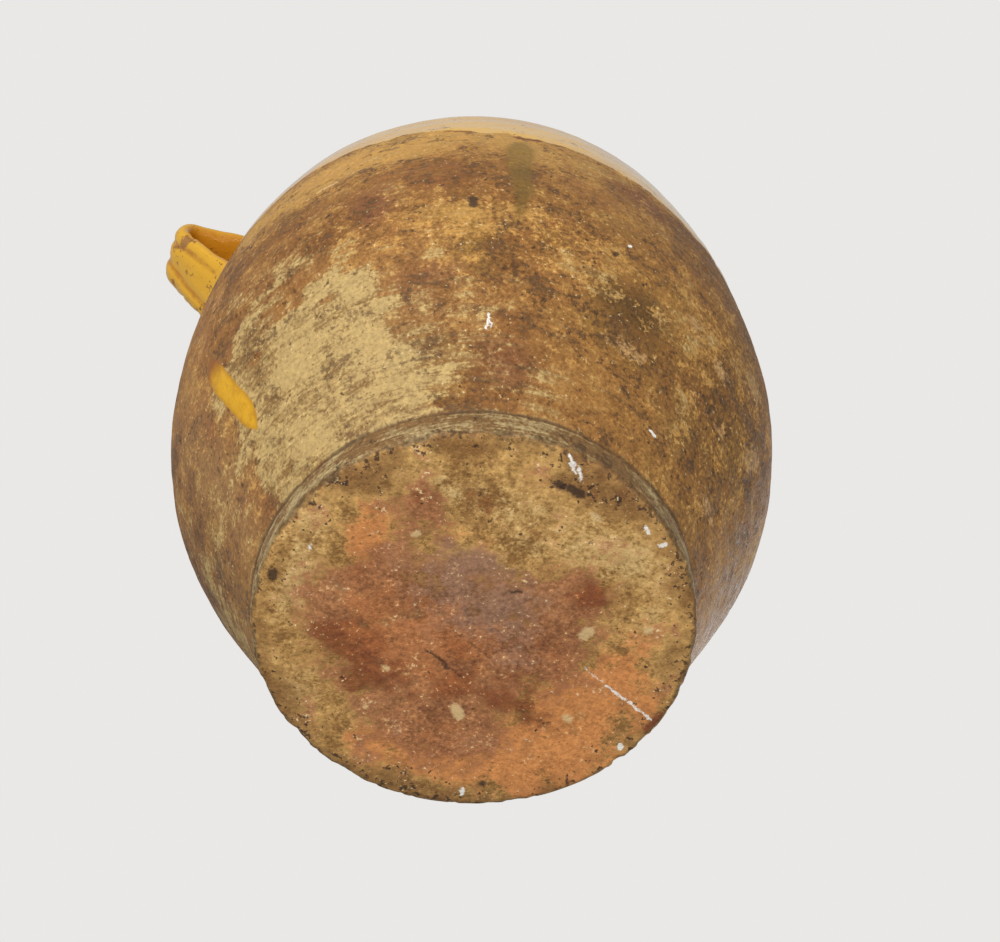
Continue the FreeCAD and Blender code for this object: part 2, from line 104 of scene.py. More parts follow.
def wall_profile():
    """Outline of the thrown wall as (radius, height), from the middle of the underside out,
    up the outside, over the rim and down the inside to the middle of the floor.

    Straight lines and arcs that run smoothly into each other: each arc's centre is found
    from its neighbour's end, and the inside arcs share the outside arcs' centres at a
    radius that differs by the wall's thickness.
    """
    half = math.pi / 2
    crease_at = (FOOT + CREASE, FOOT_TOP)
    lower = (BELLY_Z - TAPER_TOP) / math.sin(TAPER)
    lower_at = (BELLY - lower, BELLY_Z)
    turn_in = (BELLY - SHOULDER_IN, HEIGHT - SHOULDER_DROP)
    upper, climb = shoulder_arc()
    upper_at = (BELLY - upper, BELLY_Z)
    one = math.atan2(climb, turn_in[0] - upper_at[0])
    neck = BELLY - NECK_IN
    rim_at = (neck - WALL + RIM, HEIGHT - RIM)
    neck_x = neck + NECK_ROUND
    neck_at = (neck_x, rim_at[1] - math.sqrt((NECK_ROUND + RIM) ** 2 - (neck_x - rim_at[0]) ** 2))
    across, down = turn_in[0] - neck_at[0], turn_in[1] - neck_at[1]
    along = across * math.cos(one) + down * math.sin(one)
    round_in = (across ** 2 + down ** 2 - NECK_ROUND ** 2) / (2 * (along + NECK_ROUND))
    round_at = (turn_in[0] - round_in * math.cos(one), turn_in[1] - round_in * math.sin(one))
    two = math.atan2(neck_at[1] - round_at[1], neck_at[0] - round_at[0])
    three = math.atan2(rim_at[1] - neck_at[1], rim_at[0] - neck_at[0])
    thin = lower - WALL
    inner = (lower_at[0] + thin * math.cos(TAPER), BELLY_Z - thin * math.sin(TAPER))
    floor_z = FLOOR + FLOOR_ROUND
    slide = (inner[1] - floor_z + FLOOR_ROUND * math.sin(TAPER)) * math.tan(TAPER)
    floor_at = (inner[0] - slide - FLOOR_ROUND * math.cos(TAPER), floor_z)
    crease = arc(crease_at, CREASE, math.pi, math.pi - TAPER, 6)
    lower_arc = arc(lower_at, lower, -TAPER, 0, 25)
    floor_arc = arc(floor_at, FLOOR_ROUND, -TAPER, -half, 7)
    inside = [
        line((neck - WALL, rim_at[1]), (neck - WALL, neck_at[1]), 5)[1:],
        arc(neck_at, NECK_ROUND + WALL, math.pi, two + math.pi, 8)[1:],
        arc(round_at, round_in - WALL, two, one, 9)[1:],
        arc(upper_at, upper - WALL, one, 0, 14)[1:],
        arc(lower_at, lower - WALL, 0, -TAPER, 12)[1:],
        line(inner, floor_arc[0], 9)[1:],
        floor_arc[1:],
        line(floor_arc[-1], (0, FLOOR), 15)[1:-1],
    ]
    outside = [
        line((0, 0), (FOOT - FOOT_EDGE, 0), UNDER_ROWS)[1:],
        arc((FOOT - FOOT_EDGE, FOOT_EDGE), FOOT_EDGE, -half, 0, EDGE_ROWS)[1:],
        line((FOOT, FOOT_EDGE), (FOOT, FOOT_TOP), 7)[1:],
        crease[1:],
        line(crease[-1], lower_arc[0], 27)[1:],
        lower_arc[1:],
        arc(upper_at, upper, 0, one, 35)[1:],
        arc(round_at, round_in, one, two, 18)[1:],
        arc(neck_at, NECK_ROUND, two + math.pi, three, 9)[1:],
        arc(rim_at, RIM, three - math.pi, math.pi, 15)[1:],
    ]
    return np.concatenate(outside), np.concatenate(inside)


def waves(points, length, seed, count=40):
    """Smooth random height between about -1 and 1: the sum of plane waves that run in
    random directions, each about `length` millimetres long, divided by the square root of
    half their number and by 1.6.
    """
    random = np.random.default_rng(seed)
    way = unit(random.normal(size=(count, 3)))
    way *= (2 * math.pi / (length * random.uniform(0.7, 1.5, count)))[:, None]
    start = random.uniform(0, 2 * math.pi, count)
    total = np.zeros(len(points))
    for index in range(count):
        total += np.sin(points @ way[index] + start[index])
    return total / math.sqrt(count / 2) / 1.6


def step(low, high, value):
    """0 below low, 1 above high and a smooth S between them: 3 t squared minus 2 t cubed."""
    share = np.clip((value - low) / (high - low), 0.0, 1.0)
    return share * share * (3 - 2 * share)


def azimuth(points):
    """Bearing of each point round the pot's axis, in degrees."""
    return np.degrees(np.arctan2(points[:, 1], points[:, 0]))


def away(turn, place):
    """Signed angle in degrees from a bearing to each point's bearing, from -180 to 180."""
    return (turn - place + 180.0) % 360.0 - 180.0


def glaze_height(points):
    """How far each point is above the lower edge of the shoulder's glaze, in millimetres.

    The edge is a height that changes slowly round the pot, with small random waves.
    """
    turn = azimuth(points)
    places = [-160, -142, -125, -114, -97, -76, -59, -20, 40, 110, 170]
    heights = [208, 207, 204, 200, 196, 191, 187, 186, 192, 201, 208]
    edge = np.interp(turn, places, heights, period=360)
    return points[:, 2] - edge + 1.5 * waves(points, 14, 11) + 0.7 * waves(points, 5, 12)


def drip_height(points, top, bottom, wide_top, wide_bottom, taper):
    """How far each point is inside a run of glaze down the wall, in millimetres.

    The run's middle line joins two (bearing, height) places and sways by a third of a
    degree. Its half width changes evenly along it and closes to nothing at both ends as 1
    minus the distance from the middle to the power `taper`.
    """
    share = (points[:, 2] - bottom[1]) / (top[1] - bottom[1])
    middle = bottom[0] + (top[0] - bottom[0]) * share
    middle = middle + 0.35 * np.sin(share * 7)
    side = np.radians(away(azimuth(points), middle)) * np.hypot(points[:, 0], points[:, 1])
    half = wide_bottom + (wide_top - wide_bottom) * np.clip(share, 0, 1)
    close = 1 - np.abs(2 * share - 1) ** taper
    inside = np.minimum(half * np.clip(close, 0, 1) - np.abs(side), FAR)
    beyond = np.maximum(-share, share - 1) * abs(top[1] - bottom[1])
    return np.where(beyond > 0, -np.hypot(beyond, side) - 0.2, inside)


def outer_radius(height):
    """Radius of the outside at a height, read from the outline above the foot's edge."""
    part = OUTSIDE[UNDER_ROWS + EDGE_ROWS - 2:]
    part = part[: int(np.argmax(part[:, 1])) + 1]
    return np.interp(height, part[:, 1], part[:, 0])


def on_wall(turn, height):
    """Point of the outside at a bearing in degrees and a height in millimetres."""
    radius = float(outer_radius(height)) - WALL_SKIN
    angle = math.radians(turn)
    return (radius * math.cos(angle), radius * math.sin(angle), height)


def on_foot(x, y):
    """Point of the flat underside."""
    return (x, y, FOOT_SKIN)


def grid_faces(rows, columns):
    """Quads between the neighbouring rings of a closed grid, as an array of corners."""
    row, column = np.meshgrid(np.arange(rows - 1), np.arange(columns), indexing="ij")
    after = (column + 1) % columns
    a = row * columns + column
    b = row * columns + after
    c = (row + 1) * columns + after
    d = (row + 1) * columns + column
    return np.stack([a, b, c, d], -1).reshape(-1, 4)


def closed_mesh(name, rings, flip=False):
    """Mesh of a stack of rings, closed at both ends by a fan round the end ring's middle.

    Rings that run the other way round are flipped, so that the faces point outwards.
    """
    rows, columns = rings.shape[:2]
    points = rings.reshape(-1, 3)
    ends = np.stack([rings[0].mean(0), rings[-1].mean(0)])
    vertices = np.concatenate([points, ends]) * MM
    column = np.arange(columns)
    after = (column + 1) % columns
    last = (rows - 1) * columns
    low = np.stack([after, column, np.full(columns, len(points))], 1)
    high = np.stack([column + last, after + last, np.full(columns, len(points) + 1)], 1)
    faces = []
    for corners in (grid_faces(rows, columns), low, high):
        faces += (corners[:, ::-1] if flip else corners).tolist()
    mesh = bpy.data.meshes.new(name)
    mesh.from_pydata(vertices.tolist(), [], faces)
    mesh.update()
    return mesh


# Thrown wall
OUTSIDE, INSIDE = wall_profile()


def thrown_wall():
    """The outline turned round the axis, with the marks of the hand and of use.

    Radius and height are the outline's at each row, moved along the outline's own normal
    by small amounts in millimetres that never pass the pot's size: slow out-of-round waves,
    faint throwing rings (a sine of the height with a drifting phase), small pits, the worn,
    chipped edge of the foot and the thickness of the glaze.
    """
    outline = np.concatenate([OUTSIDE, INSIDE])
    slope = unit(np.gradient(outline, axis=0))
    normal = np.stack([slope[:, 1], -slope[:, 0]], 1)
    turn = np.linspace(0, 2 * math.pi, COLUMNS, endpoint=False)
    cosine, sine = np.cos(turn), np.sin(turn)
    rings = np.stack([outline[:, :1] * cosine, outline[:, :1] * sine,
                      np.repeat(outline[:, 1:], COLUMNS, 1)], -1)
    points = rings.reshape(-1, 3)
    rows = np.repeat(np.arange(len(outline)), COLUMNS)
    outer = rows < len(OUTSIDE)
    height = points[:, 2]
    radius = np.hypot(points[:, 0], points[:, 1])
    under = outer & (height < 0.01)

    # Outside: out of round, uneven, and ringed every 13 mm, all inside the nominal size
    push = 0.35 * waves(points, 150, 1) + 0.16 * waves(points, 40, 2) + 0.06 * waves(points, 9, 3)
    thrown = np.sin(height / 2.1 + 1.5 * waves(points * [0.02, 0.02, 1], 40, 4))
    push += 0.10 * thrown * step(14, 40, height)
    push -= 0.45
    # Inside: a spiral of rings every 16 mm, from the floor's round to below the neck
    spiral = 0.35 * np.sin(height / 2.6 + np.radians(azimuth(points)))
    inner_push = 0.35 * waves(points, 60, 5) + spiral * step(30, 60, height) * step(262, 240, height)
    # One changes into the other over the rim's rows
    out_share = step(len(OUTSIDE) + 3, len(OUTSIDE) - 12, rows)
    push = push * out_share + inner_push * (1 - out_share)
    # Small pits where grit fell out of the clay
    pit = step(0.62, 0.9, waves(points, 7, 6, 60))
    push -= np.where(outer, 0.45 * pit * step(215, 190, height), 0)
    # Worn edge of the foot: small chips bitten out of the round
    edge_near = np.exp(-((radius - FOOT) / 2.6) ** 2 - ((height - 1.0) / 3.2) ** 2)
    bite = step(0.2, 0.8, waves(points, 13, 7)) * 0.65 + step(0.3, 0.9, waves(points, 5, 8)) * 0.45
    push -= np.where(outer, edge_near * (0.05 + bite), 0)
    # The underside only ever rises from what it stands on, least in the ring it stands on,
    # and has a fine groove just inside its edge
    rise = 0.18 * (1 + waves(points, 30, 9)) + 0.10 * (1 + waves(points, 8, 10)) + 0.35 * pit
    rise += 0.3 * np.exp(-((radius - 79.5) / 1.3) ** 2)
    standing = step(60, 72, radius) * step(85, 78, radius)
    push = np.where(under, -np.clip(rise, 0.0, 1.2) * (1 - 0.7 * standing), push)
    # Glaze stands a little proud of the clay, with a soft edge
    coat = np.maximum(glaze_height(points), drip_height(points, *DRIP))
    push += 0.34 * step(-0.8, 2.4, coat) * step(30, 50, height) * out_share
    # A fine groove runs round above the foot band
    push -= np.where(outer, 0.45 * np.exp(-((height - 14.6) / 0.9) ** 2) * (radius > FOOT - 3), 0)
    # The rim keeps its height
    push = np.where(height > HEIGHT - 2 * RIM, np.minimum(push, -0.02), push)

    out, up = np.repeat(normal, COLUMNS, 0).T * push
    around = np.tile(np.stack([cosine, sine]), len(outline))
    points = points + np.stack([out * around[0], out * around[1], up], 1)
    points[:, 2] = np.clip(points[:, 2], 0.0, HEIGHT)
    reach = np.hypot(points[:, 0], points[:, 1])
    points[:, :2] *= np.minimum(1, (BELLY - 0.02) / np.maximum(reach, 1))[:, None]
    return closed_mesh("thrown_wall", points.reshape(len(outline), COLUMNS, 3))


# Handles
def strap_line():
    """Middle line of the strap as (x, z) points: a curve off the shoulder, a straight leg, a
    tight bend and a nearly level bridge back to the neck.
    """
    half = math.pi / 2
    lean = math.radians(ROOT_LEAN)
    upper = shoulder_arc()[0]
    wall_x = BELLY - upper + math.sqrt(upper ** 2 - (ROOT_UP - BELLY_Z) ** 2)
    root_x = math.sqrt(wall_x ** 2 - ROOT_HALF ** 2) - SMEAR_THICK / 2 - ROOT_COVER
    heel_at = (root_x + HEEL_ROUND * math.sin(lean), ROOT_UP - HEEL_ROUND * math.cos(lean))
    reach = math.dist(heel_at, BEND_AT)
    leg = math.atan2(BEND_AT[1] - heel_at[1], BEND_AT[0] - heel_at[0])
    leg -= math.asin((HEEL_ROUND + BEND_ROUND) / reach)
    end = (BELLY - NECK_IN - WALL / 2, NECK_END)
    bridge = math.atan2(end[1] - BEND_AT[1], end[0] - BEND_AT[0])
    bridge += math.asin(BEND_ROUND / math.dist(BEND_AT, end))
    heel = arc(heel_at, HEEL_ROUND, lean + half, leg + half, HEEL_ROWS)
    bend = arc(BEND_AT, BEND_ROUND, leg - half, bridge - half, BEND_ROWS)
    return np.concatenate([heel, line(heel[-1], bend[0], LEG_ROWS)[1:], bend[1:],
                           line(bend[-1], end, BRIDGE_ROWS)[1:]])


def finger_grooves(across, number):
    """How deep two finger grooves are pressed in, from 0 to 1: a bell curve of the distance
    from each groove's own line, which drifts across the strap on its way from root to neck.

    Across is a share of the half width and number a place along the strap's line. The
    shorter groove fades out towards the root.
    """
    places = [0, 14, 24, 35, 50, 74]
    long = np.interp(number, places, [0.50, 0.52, 0.42, 0.26, 0.28, 0.34])
    short = np.interp(number, places, [-0.42, -0.60, -0.60, -0.50, -0.40, -0.34])
    faded = np.interp(number, places, [0.2, 0.45, 0.9, 0.9, 0.8, 0.8])
    long, short = (np.exp(-((across - place) / 0.12) ** 2) for place in (long, short))
    return long + faded * short


def strap_handle(side):
    """Pulled strap: a flat section of about 28 by 9 mm swept along the strap's middle line.

    The section is a squared ellipse: the powers 2.6 of u over half the width and of v over
    half the thickness add up to 1. u runs across the strap and v towards the pot.
    Its outside face is pressed in by two finger grooves. Width and thickness change
    smoothly along the line and small random waves follow the pull of the hand. At the root
    the section bends round the wall, by wall radius minus the root of (wall radius squared
    minus u squared), and its inside face is thicker where clay fills the corner.
    """
    middle = strap_line()
    way = unit(np.gradient(middle, axis=0))
    normal = np.stack([-way[:, 1], way[:, 0]], 1)
    run = np.concatenate([[0], np.cumsum(np.linalg.norm(np.diff(middle, axis=0), axis=1))])
    end = run[-1]
    wide = np.interp(run, [0, 8, 20, 43, 62, 95, end],
                     [ROOT_WIDE, 34.5, 31, BEND_WIDE, BRIDGE_WIDE, 26.5, NECK_WIDE])[:, None]
    thick = np.interp(run, [0, 20, 43, end], [SMEAR_THICK, 7.6, STRAP_THICK, STRAP_THICK])[:, None]
    angle = np.linspace(0, 2 * math.pi, SECTION, endpoint=False)
    u, v = (np.sign(part) * np.abs(part) ** (2 / SQUARED) for part in (np.cos(angle), np.sin(angle)))
    across = u * wide / 2
    groove = finger_grooves(-side * u, np.arange(len(middle))[:, None]) * np.clip(-v, 0, 1)
    depth = v * thick / 2 + GROOVE * groove * (thick / STRAP_THICK)
    # The thumb presses the root round the wall, so that its edges lie in it
    pressed = step(30, 4, run)[:, None]
    depth = depth + pressed * (ROOT_WALL - np.sqrt(ROOT_WALL ** 2 - across ** 2) + 0.5)
    # and fills the corner between strap and wall
    filled = (step(27, 12, run) * step(1, 9, run))[:, None]
    depth = depth + ROOT_FILL * filled * np.clip(v, 0, 1)
    rings = np.stack([middle[:, :1] + normal[:, :1] * depth, across,
                      middle[:, 1:] + normal[:, 1:] * depth], -1)
    flat = rings.reshape(-1, 3)
    # Waves and knocks only ever take clay away, and nothing where the strap goes into the wall
    uneven = 0.35 * waves(flat, 26, 21 + side) + 0.14 * waves(flat, 8, 24 + side)
    knock = step(0.5, 0.95, waves(flat, 7, 27 + side)) * 0.7 * (np.abs(np.tile(u, len(middle))) > 0.8)
    core = np.repeat(np.stack([middle[:, 0], 0 * run, middle[:, 1]], 1), SECTION, 0)
    free = np.repeat(step(6, 32, run), SECTION)
    flat = flat - unit(flat - core) * (free * (0.2 + np.clip(uneven + 0.2, 0, 1) + knock))[:, None]
    flat[:, 0] *= side
    return closed_mesh("strap", flat.reshape(rings.shape), flip=side < 0)


def placed(name, data):
    """Puts an object with this mesh, lamp or camera into the scene."""
    thing = bpy.data.objects.new(name, data)
    bpy.context.scene.collection.objects.link(thing)
    return thing


def joined_pot():
    """Mesh of the wall and both handles as one closed skin."""
    wall = placed("wall_part", thrown_wall())
    straps = [placed("strap_part", strap_handle(side)) for side in (1, -1)]
    for strap in straps:
        join = wall.modifiers.new("join", "BOOLEAN")
        join.operation = "UNION"
        join.solver = "MANIFOLD"
        join.object = strap
    view = bpy.context.evaluated_depsgraph_get()
    mesh = bpy.data.meshes.new_from_object(wall.evaluated_get(view))
    for thing in [wall] + straps:
        old = thing.data
        bpy.data.objects.remove(thing)
        bpy.data.meshes.remove(old)
    return mesh


def strap_place(points):
    """Where points lie on the strap's section: distance off its middle line, height over
    the flat towards the pot, share of the half width, and number along the line, which is
    0 to 13 on the heel, to 32 on the leg, to 49 on the bend and to 74 on the bridge.

    Each point takes the nearest place of the middle line, and its offset from there is
    measured along the line's normal and across it.
    """
    middle = strap_line()
    way = unit(np.gradient(middle, axis=0))
    aside = np.abs(points[:, 0, None]) - middle[None, :, 0]
    above = points[:, 2, None] - middle[None, :, 1]
    near = np.argmin(aside ** 2 + above ** 2, 1)
    rows = np.arange(len(points))
    aside, above, way = aside[rows, near], above[rows, near], way[near]
    half = np.interp(near, [0, 14, 33, 50, len(middle) - 1], [19.5, 16, 14.3, 13, 14.5])
    over = above * way[:, 0] - aside * way[:, 1]
    return np.hypot(aside, above), over, points[:, 1] / half, near


def smear(mesh):
    """Smooths the skin where the straps meet the wall, as a potter's thumb does.

    Points near the seam move part of the way to the mean of their neighbours, again and
    again, by a share that falls from the seam to nothing at 6 mm.
    """
    points = np.empty(len(mesh.vertices) * 3)
    mesh.vertices.foreach_get("co", points)
    points = points.reshape(-1, 3) / MM
    edges = np.empty(len(mesh.edges) * 2, dtype=np.int32)
    mesh.edges.foreach_get("vertices", edges)
    edges = edges.reshape(-1, 2)
    off_wall = np.hypot(points[:, 0], points[:, 1]) - outer_radius(points[:, 2])
    aside, height = np.abs(points[:, 1]), points[:, 2]
    near = (aside < 30) & (height > 195) & (off_wall > -WALL / 2)
    off_strap = np.full(len(points), 99.0)
    off_strap[near] = strap_place(points[near])[0]
    root_half = np.interp(height, [205, 212, 225, 240], [21, 19, 17, 15])
    edge_gap = np.maximum(aside - np.where(height > 240, NECK_WIDE / 2, root_half), 0)
    reach = np.hypot(np.maximum(off_strap - 4.2, 0), edge_gap)
    share = step(6, 1, reach) * step(4, 0.5, np.abs(off_wall)) * near
    count = np.bincount(edges.ravel(), minlength=len(points))
    for stroke in range(10):
        mean = np.zeros_like(points)
        np.add.at(mean, edges[:, 0], points[edges[:, 1]])
        np.add.at(mean, edges[:, 1], points[edges[:, 0]])
        mean /= np.maximum(count, 1)[:, None]
        points += (mean - points) * (0.5 * share)[:, None]
    mesh.vertices.foreach_set("co", (points * MM).ravel())
    mesh.update()
    return points


# Fields
def put(mesh, name, values):
    """Stores one number per vertex."""
    layer = mesh.attributes.new(name, "FLOAT", "POINT")
    layer.data.foreach_set("value", np.ascontiguousarray(values, dtype=np.float32))


def blots(across, up, *patches):
    """Sum of soft patches (strength, place, size): each is its strength times the bell
    curve of the distance from its place, with its own width each way.
    """
    total = np.zeros(len(across))
    for strength, place, size in patches:
        off = ((across - place[0]) / size[0]) ** 2 + ((up - place[1]) / size[1]) ** 2
        total += strength * np.exp(-off)
    return total


# Soft patches (strength, place, size): chips on the strap by share of its half width and number
# along its line, stains on the wall by bearing from the side the photo shows and height, and
# stains on the underside by x and y
CHIPS = [
    (1.5, (-0.76, 30), (0.26, 2.6)), (1.1, (-0.03, 24), (0.14, 1.5)),
    (1.2, (0.72, 29.5), (0.14, 1.8)), (0.9, (0.0, 30), (0.10, 1.2)),
    (1.0, (-0.34, 34), (0.12, 1.6)), (0.6, (0.5, 47), (0.2, 3.0)), (0.6, (-0.5, 60), (0.3, 3.0)),
]
WALL_STAINS = {
    "buff": [
        (0.42, (-35, 106), (12, 13)), (0.36, (-50, 119), (6, 9)), (0.34, (-14, 66), (10, 8)),
        (0.34, (4, 34), (12, 13)), (0.26, (17, 22), (12, 8)), (0.22, (-70, 45), (8, 30)),
        (0.55, (-105, 60), (20, 40)), (0.6, (150, 60), (40, 30)), (0.16, (10, 70), (30, 40)),
    ],
    "tan": [
        (0.9, (67.3, 107), (3.4, 6)), (0.8, (57.5, 87), (3.6, 5)), (0.7, (47, 94), (3, 4)),
        (0.7, (71.5, 38), (5, 5)), (0.8, (76.5, 81), (3, 8)), (0.7, (-45.7, 165), (2.2, 4)),
        (0.5, (-36, 191), (3, 6)), (0.5, (60, 66), (10, 4)), (0.5, (33, 60), (10, 5)),
        (0.6, (130, 120), (12, 10)),
    ],
    "dark": [
        (0.75, (32, 78), (13, 18)), (0.50, (55, 50), (18, 24)), (0.40, (30, 122), (14, 14)),
        (0.30, (-74, 130), (12, 40)), (0.40, (170, 120), (50, 60)), (-0.20, (-8, 188), (34, 12)),
        (0.45, (2, 18), (10, 5)), (0.35, (70, 120), (8, 30)),
    ],
    "plum": [
        (0.85, (-18, 122), (5, 16)), (0.80, (35, 165), (8, 13)), (0.75, (8, 36), (9, 14)),
        (0.60, (-8, 76), (10, 7)), (0.70, (-50, 97), (6, 8)), (0.60, (-66, 76), (4, 13)),
        (0.40, (-36, 140), (14, 10)), (0.40, (60, 140), (14, 14)), (0.50, (-120, 110), (26, 30)),
        (0.50, (120, 70), (20, 30)),
    ],
    # Gold patches: a golden tone of the clay and, on the upper wall, painted light
    "gold_and_painted_light": [
        (0.85, (-36, 176), (20, 24)), (0.65, (-14, 176), (12, 14)), (0.55, (12, 165), (12, 20)),
        (1.0, (-8, 190), (30, 14)), (0.60, (2, 105), (16, 14)), (0.45, (-120, 170), (30, 20)),
        (0.5, (160, 160), (40, 24)),
    ],
    "flecks": [
        (0.80, (14, 92), (24, 34)), (0.70, (62, 62), (22, 50)), (0.60, (-22, 104), (14, 12)),
        (0.40, (-60, 60), (12, 50)), (0.60, (150, 90), (60, 60)),
    ],
    "left": [(1.0, (-72, 60), (13, 60))],
    "right": [(0.9, (68, 80), (30, 90))],
}
FOOT_STAINS = {
    "red": [
        (1.20, (-8, 12), (50, 42)), (0.60, (-46, 0), (16, 20)), (0.80, (36, -27), (13, 10)),
        (0.45, (34, -2), (16, 14)), (0.65, (-34, -48), (12, 13)), (0.50, (2, 54), (24, 14)),
        (-0.50, (54, 46), (18, 22)), (-0.30, (0, -50), (22, 8)),
    ],
    "deep": [
        (0.80, (-24, 34), (20, 16)), (0.75, (-44, 16), (14, 10)), (0.80, (33, -28), (12, 8)),
        (0.60, (16, 28), (18, 10)), (0.45, (-36, -48), (10, 10)), (0.45, (-8, 16), (12, 8)),
        (0.45, (8, 58), (14, 8)), (0.40, (-52, -10), (8, 8)), (0.3, (30, 6), (14, 14)),
    ],
    "orange": [
        (1.10, (45, 40), (26, 32)), (1.0, (-51, -26), (9, 14)), (0.75, (4, 64), (28, 12)),
        (0.60, (60, 2), (12, 22)), (0.60, (76, 18), (6, 10)), (0.45, (-28, 62), (14, 8)),
        (0.4, (-8, -40), (40, 8)),
    ],
    "grey": [
        (0.90, (-3, -2), (26, 12)), (0.60, (-18, -16), (20, 10)), (0.60, (12, -14), (12, 10)),
        (0.50, (20, 8), (12, 10)), (0.65, (-8, -31), (22, 8)),
    ],
    "pale": [
        (0.60, (-72, -6), (10, 40)), (0.65, (-16, -56), (30, 10)), (0.60, (40, -46), (24, 16)),
        (0.50, (5, -41), (14, 8)), (0.50, (-55, 44), (12, 12)), (0.65, (7, 43), (6, 6)),
        (0.45, (62, -16), (10, 20)),
    ],
    "soot": [
        (1.00, (12, -71), (9, 4)), (0.30, (76, -4), (7, 24)), (0.40, (64, -40), (14, 14)),
        (0.55, (-60, 50), (14, 10)), (0.50, (-10, 78), (20, 8)), (0.55, (-52, -52), (16, 12)),
        (0.45, (30, -66), (20, 8)), (0.35, (-20, -44), (20, 6)), (0.50, (-9, 21), (7, 5)),
    ],
}


def paint_fields(mesh, points):
    """Where the stains, bare clay, glaze and chips lie, as soft numbers per vertex.

    A field is about 1 where its stain is whole and 0 where there is none, and the material
    breaks each one up with finer grain. The glaze and its two runs are stored as how far
    each point is inside them, in millimetres.
    """
    height = points[:, 2]
    radius = np.hypot(points[:, 0], points[:, 1])
    off_wall = radius - outer_radius(height)
    inside = ((off_wall < -WALL / 2) & (height > FLOOR / 2)) | ((radius < 90) & (height > 262))
    outside = np.where(inside, 0.0, 1.0)
    handle = (off_wall > 1.6) & (height > 205)
    under = outside * step(1.6, 0.4, height) * (radius < FOOT + 0.5)
    band = outside * step(15.2, 13.5, height) - under
    wall = outside * (1 - under) * (1 - band)
    glazed = inside | handle | (height > 240)
    put(mesh, "glaze", np.clip(np.where(glazed, FAR, glaze_height(points)), -FAR, FAR))
    put(mesh, "drip", np.clip(drip_height(points, *DRIP), -FAR, FAR))
    put(mesh, "drip_end", step(89, 96, height + 1.0 * waves(points, 6, 31)))
    put(mesh, "run", np.clip(drip_height(points, *RUN), -FAR, FAR))
    put(mesh, "under", under)
    put(mesh, "band", band)
    put(mesh, "edge", outside * np.exp(-((radius - FOOT + 1.5) / 3.0) ** 2) * step(7, 2, height))
    # Where the dark line of painted shade in the crease above the foot lies
    put(mesh, "crease", outside * np.exp(-((height - 14.8) / 0.9) ** 2))

    # On the straps: which side faces the pot, which takes painted shade, the finger grooves and the
    # worn edges
    local = np.where(handle)[0]
    over, across, along = strap_place(points[local])[1:]
    across = across * -np.sign(points[local, 0])
    hollow, groove, rubbed = np.zeros((3, len(points)))
    # Painted shade on the side of each strap that faces the pot
    hollow[local] = step(-0.5, 2.5, over)
    # Painted shade along the finger grooves of each strap's outer face
    groove[local] = finger_grooves(across, along) * step(0.0, -2.0, over)
    worn = 0.8 * step(0.80, 1.0, across) * step(26, 33, along)
    rubbed[local] = (worn + blots(across, along, *CHIPS)) * step(1.5, -1.0, over)
    put(mesh, "strap", np.where(handle, 1.0, 0.0))
    put(mesh, "hollow", hollow)
    put(mesh, "groove", groove)
    put(mesh, "rubbed", rubbed)

    # On the wall, where the pale slip also lies below an edge that falls from left to right
    turn = away(azimuth(points), FRONT)
    places = [-62, -57, -45, -33, -25, -18, -8, 2, 12]
    edge = np.interp(turn, places, [76, 84, 88, 88, 80, 64, 52, 34, 18])
    edge = edge + 9 * waves(points, 26, 32) + 4 * waves(points, 9, 34)
    slip = step(-63, -57, turn + 3 * waves(points, 26, 33)) * step(3, -20, turn)
    stains = {name: blots(turn, height, *patches) for name, patches in WALL_STAINS.items()}
    stains["buff"] += 0.90 * slip * step(14, -12, height - edge)
    for name, amount in stains.items():
        put(mesh, name, amount * wall)

    # On the underside, where soot also lies towards the rim
    x, y = points[:, 0], points[:, 1]
    stains = {name: blots(x, y, *patches) for name, patches in FOOT_STAINS.items()}
    stains["soot"] += 0.55 * step(66, 84, radius)
    for name, amount in stains.items():
        put(mesh, name, amount * under)


# Material
def linear(colour):
    """Linear red, green, blue and alpha of an sRGB hex colour."""
    parts = [int(colour[i:i + 2], 16) / 255 for i in (1, 3, 5)]
    return tuple(c / 12.92 if c <= 0.04045 else ((c + 0.055) / 1.055) ** 2.4 for c in parts) + (1.0,)


def cleared(owner):
    """The empty node tree of a new material or world."""
    owner.use_nodes = True
    owner.node_tree.nodes.clear()
    return owner.node_tree


def add(tree, kind, values=None, **settings):
    """Adds a node with its settings. Each value is a number or colour, or a socket to link."""
    node = tree.nodes.new(kind)
    for name, setting in settings.items():
        setattr(node, name, setting)
    for key, value in (values or {}).items():
        socket = node.inputs[key]
        if isinstance(value, bpy.types.NodeSocket):
            tree.links.new(value, socket)
        else:
            socket.default_value = value
    return node


def strokes(place, *rows):
    """Short strokes on the wall or under the foot: (start, end, radius in millimetres)."""
    return [(place(*start), place(*end), radius) for start, end, radius in rows]


# Stray marks, by bearing and height on the wall and by x and y under the foot
PALE_MARKS = strokes(
    on_wall,
    ((-103.9, 57.0), (-103.3, 51.5), 0.55), ((-103.9, 55.5), (-104.3, 51.0), 0.5),
    ((-77.2, 110.5), (-77.0, 111), 0.9), ((-62, 34), (-60.5, 33.6), 0.8)
) + strokes(
    on_foot,
    ((11.0, -83.0), (14.5, -79.5), 0.75), ((12.5, -80.0), (15.8, -76.5), 0.5),
    ((16.0, -79.5), (18.5, -74.5), 0.65), ((57, 10.8), (66, 15.0), 0.5),
    ((68, 15.6), (79, 20.9), 0.5), ((46, 5), (56, 10.2), 0.22), ((18, 75), (18.4, 77.5), 0.8),
    ((71.5, 36.5), (72, 37.5), 1.2), ((56, -56), (58, -57), 0.8), ((48, -62), (50, -60), 0.6),
    ((-70, -17), (-70.4, -18), 0.7)
)
